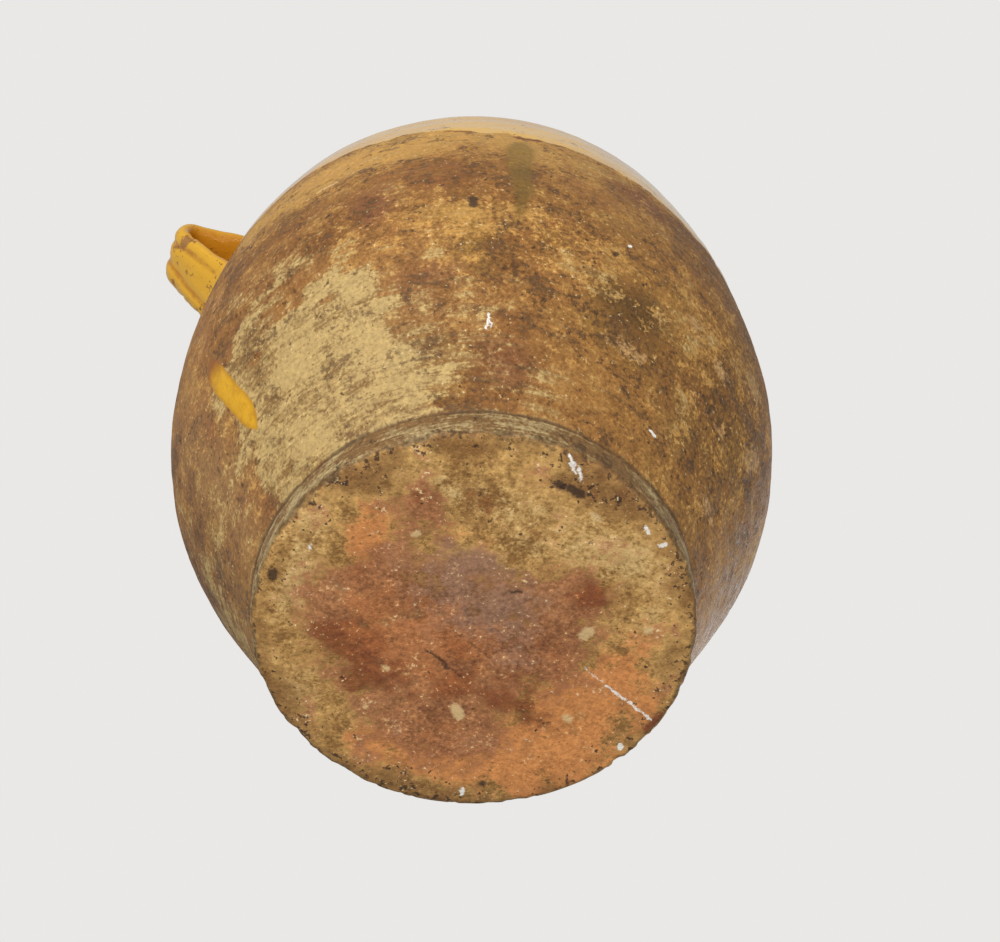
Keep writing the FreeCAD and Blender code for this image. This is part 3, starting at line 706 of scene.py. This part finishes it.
CREAM_MARKS = strokes(
    on_wall,
    ((-137.0, 161.6), (-133.0, 162.4), 0.9)
) + strokes(
    on_foot,
    ((41.5, -9), (42.5, -11), 2.4), ((47, 30), (48, 30.5), 1.7), ((-28, 27), (-27, 27.4), 1.2),
    ((4, 38), (6, 41), 2.2), ((64, -18), (65, -19), 1.4), ((-34, -34), (-33, -35), 1.2),
    ((27, -62), (30, -60), 1.0)
)
DARK_MARKS = strokes(
    on_wall,
    ((-106.9, 112.6), (-106.9, 117.2), 1.9), ((-95, 204), (-94.4, 206), 2.2),
    ((-116.2, 215), (-115, 215.8), 1.9), ((-134.2, 129), (-133.8, 129.4), 1.0),
    ((-155.8, 161), (-155, 161.8), 1.3), ((-163.6, 131.8), (-163.0, 132), 1.3),
    ((-120.4, 163.2), (-120.2, 164), 0.9), ((-105.1, 139), (-104.9, 139.4), 1.0),
    ((-80, 101), (-79.6, 101.6), 1.2)
) + strokes(
    on_foot,
    ((11, -70.5), (13, -70), 1.6), ((16, -70), (20.5, -68.5), 1.9),
    ((24.6, 69.8), (24.9, 70.3), 1.4), ((-80.6, -2.6), (-80.0, -0.6), 1.9),
    ((-14.6, 14.8), (-9.8, 16.8), 0.7), ((-9.5, 16.6), (-4.8, 20.6), 0.8),
    ((-9.8, 17), (1.5, 23), 0.45), ((9, -20), (12, -21), 0.8)
)
RUST_MARKS = strokes(
    on_wall,
    ((-97.4, 191.5), (-95.6, 193.0), 2.6), ((-95.4, 192.0), (-93.6, 193.8), 1.6),
    ((-98.4, 193.4), (-97.6, 195.0), 1.0), ((-106.5, 196.2), (-112, 199.4), 0.8)
) + strokes(
    on_foot,
    ((79, 26), (82, 18), 1.6)
)


def noise_scale(size):
    """Scale of a noise node whose features are `size` millimetres wide. One unit of its own
    holds about 2.2 of them.
    """
    return 1 / (size * MM * 2.2)


def earthenware():
    """Lead-glazed earthenware: bare, stained clay below and a thick mustard glaze above."""
    material = bpy.data.materials.new("lead_glazed_earthenware")
    tree = cleared(material)
    place = add(tree, "ShaderNodeTexCoord").outputs["Object"]
    field = {}
    for name in ("glaze", "drip", "drip_end", "run", "under", "band", "edge", "crease", "strap",
                 "hollow", "groove", "rubbed", *WALL_STAINS, *FOOT_STAINS):
        field[name] = add(tree, "ShaderNodeAttribute", attribute_name=name).outputs["Fac"]

    def grain(size, detail=4.0, rough=0.6, stretch=(1, 1, 1), shift=0.0):
        """Cloudy pattern with features of about `size` millimetres, about 0.1 to both sides of 0."""
        scaled = add(tree, "ShaderNodeMapping", {
            "Vector": place, "Location": (shift, shift * 0.7, shift * 1.3), "Scale": stretch})
        noise = add(tree, "ShaderNodeTexNoise", {
            "Vector": scaled.outputs["Vector"], "Scale": noise_scale(size), "Detail": detail,
            "Roughness": rough}).outputs["Fac"]
        return add(tree, "ShaderNodeMath", {0: noise, 1: 0.5}, operation="SUBTRACT").outputs["Value"]

    def total(*terms):
        """Weighted total of (weight, value) terms, each a number or a socket."""
        result = 0.0
        for weight, value in terms:
            result = add(tree, "ShaderNodeMath", {0: value, 1: weight, 2: result},
                         operation="MULTIPLY_ADD").outputs["Value"]
        return result

    def cover(low, high, *terms):
        """How whole a stain is: a straight ramp of the total, from 0 at low to 1 at high."""
        return add(tree, "ShaderNodeMapRange", {
            "Value": total(*terms), "From Min": low, "From Max": high}).outputs["Result"]

    def stain(below, above, amount, share=1.0):
        """Lays one colour over another where the amount is 1, at most by the share."""
        below, above = (linear(c) if isinstance(c, str) else c for c in (below, above))
        return add(tree, "ShaderNodeMix", {0: total((share, amount)), 6: below, 7: above},
                   data_type="RGBA").outputs[2]

    def layers(colour, *rows):
        """Lays stains over a colour, one after the other. Each row is the stain's own colour, its
        share, the low and the high end of its ramp, and the terms of its total.
        """
        for above, share, low, high, *terms in rows:
            colour = stain(colour, above, cover(low, high, *terms), share)
        return colour

    # Marks have ragged outlines, so they are measured from a place that is moved a little
    shake = add(tree, "ShaderNodeTexNoise", {
        "Vector": place, "Scale": noise_scale(0.874), "Detail": 4.0,
        "Roughness": 0.7}).outputs["Color"]
    shake = add(tree, "ShaderNodeVectorMath", {0: shake, 1: (0.5, 0.5, 0.5)},
                operation="SUBTRACT").outputs["Vector"]
    shake = add(tree, "ShaderNodeVectorMath", {0: shake, "Scale": 3.6 * MM},
                operation="SCALE").outputs["Vector"]
    shaken = add(tree, "ShaderNodeVectorMath", {0: place, 1: shake},
                 operation="ADD").outputs["Vector"]

    def marks(table, soft):
        """1 inside any of the short strokes, each a radius round the line between two ends, with
        an edge that is soft over so many millimetres.
        """
        best = -1.0
        for start, end, radius in table:
            run = (Vector(end) - Vector(start)) * MM
            shift = add(tree, "ShaderNodeVectorMath", {0: shaken, 1: Vector(start) * MM},
                        operation="SUBTRACT").outputs["Vector"]
            along = add(tree, "ShaderNodeVectorMath", {0: shift, 1: run / run.length_squared},
                        operation="DOT_PRODUCT").outputs["Value"]
            along = add(tree, "ShaderNodeClamp", {"Value": along}).outputs["Result"]
            nearest = add(tree, "ShaderNodeVectorMath", {0: run, "Scale": along}, operation="SCALE")
            gap = add(tree, "ShaderNodeVectorMath", {0: shift, 1: nearest.outputs["Vector"]},
                      operation="DISTANCE").outputs["Value"]
            inside = add(tree, "ShaderNodeMath", {0: radius * MM, 1: gap}, operation="SUBTRACT")
            best = add(tree, "ShaderNodeMath", {0: best, 1: inside.outputs["Value"]},
                       operation="MAXIMUM").outputs["Value"]
        return cover(-soft * MM / 2, soft * MM / 2, (1.0, best))

    # Grain from clouds of 45 mm to specks of 0.75 mm, and streaks up the wall and round it
    broad = grain(45, 2)
    cloud = grain(22, 5, 0.66, shift=12.1)
    mottle = grain(12, 6, 0.68, shift=1.3)
    blotch = grain(5, 5, 0.68, shift=6.6)
    fine = grain(2.2, 3, 0.7, shift=2.1)
    dust = grain(0.75, 2, 0.7, shift=3.4)
    grit = grain(1.1, 2, 0.65, shift=9.3)
    upright = grain(4, 3, 0.65, stretch=(1, 1, 0.25), shift=4.2)
    wiped = grain(1.5, 3, 0.7, stretch=(0.10, 0.10, 1), shift=5.1)

    # Bare clay of the wall, from the broad tone to the fine flecks
    clay = stain("#744A20", "#AB7A3F", cover(
        -0.36, 0.36, (1.0, broad), (2.0, mottle), (1.3, blotch), (0.8, dust)))
    clay = layers(
        clay,
        ("#89542B", 0.6, 0.05, 0.45, (2.2, cloud), (0.8, blotch), (0.6, dust)),
        ("#856828", 0.5, 0.08, 0.50, (-2.2, cloud), (0.8, blotch), (0.6, dust)))
    clay = stain(clay, "#94704A", field["left"], 0.6)
    clay = stain(clay, "#7E5924", field["right"], 0.45)
    clay = layers(
        clay,
        # Golden tone, partly painted light that lightens the upper wall
        ("#B68B49", 0.8, 0.20, 0.80, (1.0, field["gold_and_painted_light"]), (1.8, mottle), (1.0, upright),
         (0.7, dust)),
        ("#7E4E30", 0.75, 0.30, 0.75, (1.1, field["plum"]), (1.8, mottle), (0.8, blotch),
         (0.6, dust)),
        ("#4A3212", 0.8, 0.40, 0.85, (1.1, field["dark"]), (1.6, mottle), (1.8, blotch),
         (0.8, fine), (0.6, dust)),
        ("#C1914B", 0.78, 0.26, 0.52, (0.28, field["flecks"]), (1.8, mottle), (1.8, blotch),
         (1.2, fine), (0.9, dust)))
    pitted = cover(
        0.26, 0.52, (0.22, field["dark"]), (0.12, field["flecks"]), (-1.2, mottle),
        (-1.4, blotch), (0.8, upright), (1.6, grit))
    clay = stain(clay, "#452D13", pitted, 0.75)
    clay = layers(
        clay,
        ("#C09554", 0.5, -1.0, 0.2, (1 / 11, field["glaze"]), (3.0, mottle), (1.0, fine),
         (1.0, dust)),
        ("#BA9260", 0.85, 0.35, 0.65, (1.1, field["tan"]), (1.4, blotch), (0.8, fine), (0.8, dust)))

    # Pale slip wiped on with a rag: whole in its middle, worn through to specks at its edge
    buff_mix = total((1.0, field["buff"]), (2.0, mottle), (1.1, blotch), (1.3, wiped), (0.6, fine),
                     (0.7, dust))
    slip = cover(0.40, 0.64, (1.0, buff_mix))
    clay = stain(clay, "#9A7848", cover(0.20, 0.50, (1.0, buff_mix)), 0.65)
    slip_tone = stain("#826236", "#BA9D65", cover(
        -0.26, 0.10, (1.8, mottle), (1.4, wiped), (0.7, dust)))
    clay = stain(clay, slip_tone, slip, 0.95)
    holes = cover(0.14, 0.38, (-1.8, mottle), (-1.4, blotch), (1.4, grit), (1.4, wiped))
    clay = stain(clay, "#654829", holes, 0.75)
    clay = layers(
        clay,
        ("#D9C08E", 0.6, 0.30, 0.42, (1.6, dust), (0.9, grit)),
        ("#33230F", 0.75, 0.33, 0.45, (1.6, grit), (0.9, fine), (-0.5, dust)))

    # Foot band: brown clay with greyish slip wiped round it, and a dark line of painted shade in the
    # crease
    ring = stain("#7C5B34", "#B29C6E", cover(-0.12, 0.30, (1.6, wiped), (2.0, mottle), (0.9, dust)))
    ring = stain(ring, "#463320", cover(
        0.22, 0.42, (-1.8, mottle), (1.6, blotch), (1.2, grit)), 0.75)
    clay = stain(clay, ring, field["band"])
    clay = stain(clay, "#4B3620", cover(
        0.40, 0.75, (1.0, field["crease"]), (1.6, wiped), (1.2, mottle)), 0.75)

    # Underside: golden rim zone, orange flush, red heart and grey bloom
    foot = stain("#906837", "#CFA462", cover(
        -0.34, 0.26, (2.0, mottle), (1.4, blotch), (0.8, fine), (0.8, dust)))
    foot = layers(
        foot,
        ("#9A6E3A", 0.6, 0.05, 0.5, (-2.2, cloud), (0.8, blotch), (0.8, dust)),
        ("#C6AA74", 0.75, 0.36, 0.80, (1.0, field["pale"]), (1.8, mottle), (0.9, fine),
         (1.0, dust)),
        ("#C9824A", 0.85, 0.26, 0.60, (1.0, field["orange"]), (2.4, mottle), (1.5, blotch),
         (0.9, dust)))
    red_tone = stain("#7C4A2D", "#A9714A", cover(
        -0.30, 0.26, (2.0, mottle), (1.2, blotch), (1.0, dust)))
    foot = stain(foot, red_tone, cover(
        0.36, 0.68, (1.1, field["red"]), (2.8, mottle), (1.9, blotch), (1.0, dust)), 0.92)
    foot = layers(
        foot,
        ("#7F4423", 0.8, 0.36, 0.72, (1.0, field["deep"]), (-2.8, mottle), (1.8, blotch),
         (1.0, dust)),
        ("#90705C", 0.65, 0.32, 0.85, (1.0, field["grey"]), (1.8, blotch), (2.4, mottle),
         (0.9, dust)),
        ("#B6713F", 0.5, 0.88, 1.30, (1.0, field["red"]), (-1.8, cloud), (1.6, blotch),
         (0.8, fine)),
        ("#79532D", 0.7, 0.40, 0.85, (1.0, field["soot"]), (-1.8, mottle), (1.4, blotch),
         (1.2, dust)),
        ("#D2AE78", 0.7, 0.32, 0.52, (1.2, mottle), (1.8, blotch), (1.4, dust), (0.8, fine)),
        ("#644626", 0.65, 0.26, 0.46, (-1.2, mottle), (1.4, fine), (1.4, grit)),
        ("#35251A", 0.85, 0.42, 0.54, (0.30, field["soot"]), (0.12, field["edge"]),
         (-0.12, field["red"]), (1.7, grit), (1.1, fine), (1.4, blotch)),
        ("#E2CC9C", 0.6, 0.29, 0.41, (1.7, dust), (0.8, blotch)))
    clay = stain(clay, foot, field["under"])
    clay = stain(clay, "#4E381D", cover(
        0.70, 1.0, (0.9, field["edge"]), (1.6, mottle), (1.5, blotch), (1.0, grit)), 0.6)
    # Each grain of the clay is a little lighter or darker than the next; the gold patches are also
    # made lighter, as painted light on the upper wall
    depth = total((0.18, field["under"]), (0.20, field["flecks"]), (0.36, field["right"]),
                  (1.0, 0.42))
    grains = total((1.6, fine), (1.9, dust))
    level = total((depth, grains), (0.14, field["under"]), (0.18, field["gold_and_painted_light"]),
                  (0.12, field["left"]), (1.0, 0.93))
    clay = add(tree, "ShaderNodeVectorMath", {0: clay, "Scale": level},
               operation="SCALE").outputs["Vector"]

    # Stray marks: iron spots, chips, scratches and flecks of lime
    clay = stain(clay, "#D9B984", marks(CREAM_MARKS, 1.2), 0.85)
    clay = stain(clay, "#33231A", marks(DARK_MARKS, 1.0), 0.85)
    rust = marks(RUST_MARKS, 1.6)
    clay = stain(clay, "#6E3A22", rust, 0.85)
    clay = stain(clay, "#F2EEE6", marks(PALE_MARKS, 0.5), 0.95)

    # Glaze: mustard over the shoulder, neck, handles and inside, darker in mottled patches, with
    # painted shade on the straps' faces towards the pot and in their finger grooves
    glaze_tone = stain("#C58C18", "#DFAA30", cover(-0.2, 0.2, (1.2, broad), (1.0, mottle)))
    glaze_tone = stain(glaze_tone, "#D6A220", field["strap"], 0.7)
    glaze_tone = stain(glaze_tone, "#9E620A", cover(0.16, 0.40, (1.4, mottle), (1.0, blotch)), 0.5)
    # Painted shade: the straps' faces towards the pot are darker orange
    glaze_tone = stain(glaze_tone, "#B87208", field["hollow"], 0.7)
    # Painted shade: the finger grooves are darker orange
    glaze_tone = stain(glaze_tone, "#A8660C", cover(
        0.35, 0.9, (1.0, field["groove"]), (1.5, mottle), (1.0, fine)), 0.7)
    rubbed = cover(
        0.34, 0.58, (0.60, field["rubbed"]), (1.8, blotch), (0.8, mottle), (1.6, fine), (1.2, dust))
    glaze_tone = stain(glaze_tone, "#94683E", rubbed, 0.9)
    glaze_tone = stain(glaze_tone, "#54401C", cover(0.26, 0.36, (1.6, dust), (1.0, blotch)), 0.75)
    # It lies above its lower edge, except where a rusty mark has burst it
    coat = cover(-0.3, 0.4, (1.0, field["glaze"]), (7.0, mottle), (3.0, fine))
    whole = total((-1.0, rust), (1.0, 1.0))
    coat = total((whole, coat))
    clay = stain(clay, "#705A24", cover(
        -0.8, 2.4, (1.0, field["run"]), (5.0, fine), (6.0, blotch), (3.0, dust)), 0.62)
    drip_cover = cover(-0.1, 0.4, (1.0, field["drip"]), (1.2, fine))
    drip_tone = stain("#CF9A0E", "#B07A06", cover(-0.05, 0.2, (1.0, blotch), (1.0, fine)), 0.6)
    drip_tone = stain(drip_tone, "#9A6406", cover(2.2, 0.4, (1.0, field["drip"])), 0.5)
    drip_tone = stain(drip_tone, "#7E430A", field["drip_end"], 0.9)
    colour = stain(clay, glaze_tone, coat)
    colour = stain(colour, drip_tone, drip_cover)
    # Where hands and the hearth wore it, the glaze has lost most of its shine
    shine = total((-0.55, field["strap"]), (-0.5, rubbed), (1.0, 1.0))
    gloss = add(tree, "ShaderNodeMath", {0: total((shine, coat)), 1: total((0.22, drip_cover))},
                operation="MAXIMUM").outputs["Value"]

    # Clay scatters light. The glaze is a clear, smooth coat over it, which mirrors the room
    rough = total((0.5, fine), (0.4, mottle), (-0.2, gloss), (1.0, 0.66))
    relief = total(
        (0.8, fine), (0.7, dust), (0.3, slip), (0.6, wiped), (-0.3, holes), (-0.3, pitted))
    bare = total((-0.9, gloss), (1.0, 1.0))
    bump = add(tree, "ShaderNodeBump", {"Strength": 0.7, "Distance": 0.5 * MM,
                                        "Height": total((bare, relief))}).outputs["Normal"]
    shader = add(tree, "ShaderNodeBsdfPrincipled", {"Base Color": colour, "Roughness": rough,
                                                    "Normal": bump, "Coat Weight": gloss})
    shader.inputs["IOR"].default_value = 1.36
    shader.inputs["Coat Roughness"].default_value = 0.07
    shader.inputs["Coat IOR"].default_value = 1.52
    add(tree, "ShaderNodeOutputMaterial", {"Surface": shader.outputs["BSDF"]})
    return material


# The pot
mesh = joined_pot()
mesh.name = "confit_pot"
points = smear(mesh)
paint_fields(mesh, points)
mesh.polygons.foreach_set("use_smooth", np.ones(len(mesh.polygons), dtype=bool))
mesh.materials.clear()
mesh.materials.append(earthenware())
pot = placed("confit_pot", mesh)
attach(pot, "root")
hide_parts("pot")


# Stage
def lamp(name, place, target, width, power, mirrored=True):
    """Soft square area lamp that faces a target. Places in metres, power in watts.

    One that isn't mirrored lights the pot without a white square in its glaze.
    """
    light = bpy.data.lights.new(name, "AREA")
    light.shape = "SQUARE"
    light.size = width
    light.energy = power
    thing = placed(name, light)
    way = Vector(target) - Vector(place)
    thing.rotation_euler = way.to_track_quat("-Z", "Y").to_euler()
    thing.location = place
    thing.visible_glossy = mirrored


EYE = Vector((-151.766, -477.048, -750.440)) * MM
RIGHT = Vector((0.954403, -0.298060, -0.016599))
UP = Vector((-0.250648, -0.830309, 0.497757))
AHEAD = Vector((0.162144, 0.470900, 0.867158))
CENTRE = Vector((0, 0, 0.12))

camera = bpy.data.cameras.new("photo")
camera.sensor_fit = "HORIZONTAL"
camera.sensor_width = 36.0
camera.lens = 84.39
camera.clip_start = 0.05
camera.clip_end = 30
eye = placed("photo", camera)
turned = Matrix((RIGHT, UP, -AHEAD)).transposed().to_4x4()
eye.matrix_world = Matrix.Translation(EYE) @ turned
bpy.context.scene.camera = eye

key = CENTRE - AHEAD * 1.15 + UP * 0.75 - RIGHT * 0.5
fill = CENTRE - AHEAD * 1.3 - UP * 0.2 + RIGHT * 1.2
lamp("key", key, CENTRE, 1.0, 20)
lamp("fill", fill, CENTRE, 1.6, 8)
lamp("above", (0.15, 0.35, 1.7), CENTRE, 1.5, 18, mirrored=False)
lamp("behind", (1.25, 0.95, 1.1), CENTRE, 0.9, 10)


def one_sided(name, colour):
    """Matt surface that only the camera sees, and only from above. It takes the pot's
    shadow but keeps no lamp that stands below it from the pot, and glows a little so that
    it stays pale far off.
    """
    material = bpy.data.materials.new(name)
    tree = cleared(material)
    ray = add(tree, "ShaderNodeLightPath").outputs["Is Camera Ray"]
    back = add(tree, "ShaderNodeNewGeometry").outputs["Backfacing"]
    front = add(tree, "ShaderNodeMath", {0: 1.0, 1: back}, operation="SUBTRACT").outputs["Value"]
    seen = add(tree, "ShaderNodeMath", {0: ray, 1: front}, operation="MULTIPLY").outputs["Value"]
    clear = add(tree, "ShaderNodeBsdfTransparent").outputs["BSDF"]
    matt = add(tree, "ShaderNodeBsdfDiffuse", {"Color": linear(colour)}).outputs["BSDF"]
    glow = add(tree, "ShaderNodeEmission", {
        "Color": linear(colour), "Strength": 0.3}).outputs["Emission"]
    paper = add(tree, "ShaderNodeAddShader", {0: matt, 1: glow}).outputs["Shader"]
    both = add(tree, "ShaderNodeMixShader", {0: seen, 1: clear, 2: paper}).outputs["Shader"]
    add(tree, "ShaderNodeOutputMaterial", {"Surface": both})
    return material


sheet = bpy.data.meshes.new("floor")
sheet.from_pydata([(-4, -4, 0), (4, -4, 0), (4, 4, 0), (-4, 4, 0)], [], [(0, 1, 2, 3)])
sheet.materials.append(one_sided("pale_floor", "#E6E4E0"))
floor = placed("floor", sheet)

world = bpy.data.worlds.new("studio")
bpy.context.scene.world = world
sky = cleared(world)
path = add(sky, "ShaderNodeLightPath")
seen = path.outputs["Is Camera Ray"]
mirrored = add(sky, "ShaderNodeMath", {0: path.outputs["Is Glossy Ray"], 1: 0.22, 2: 0.42},
               operation="MULTIPLY_ADD").outputs["Value"]
pale = add(sky, "ShaderNodeBackground", {"Color": linear("#E9E8E6"), "Strength": 1.0})
dim = add(sky, "ShaderNodeBackground", {"Color": linear("#F4F3F0"), "Strength": mirrored})
both = add(sky, "ShaderNodeMixShader", {
    0: seen, 1: dim.outputs["Background"], 2: pale.outputs["Background"]}).outputs["Shader"]
add(sky, "ShaderNodeOutputWorld", {"Surface": both})

bpy.context.scene.view_settings.view_transform = "Standard"
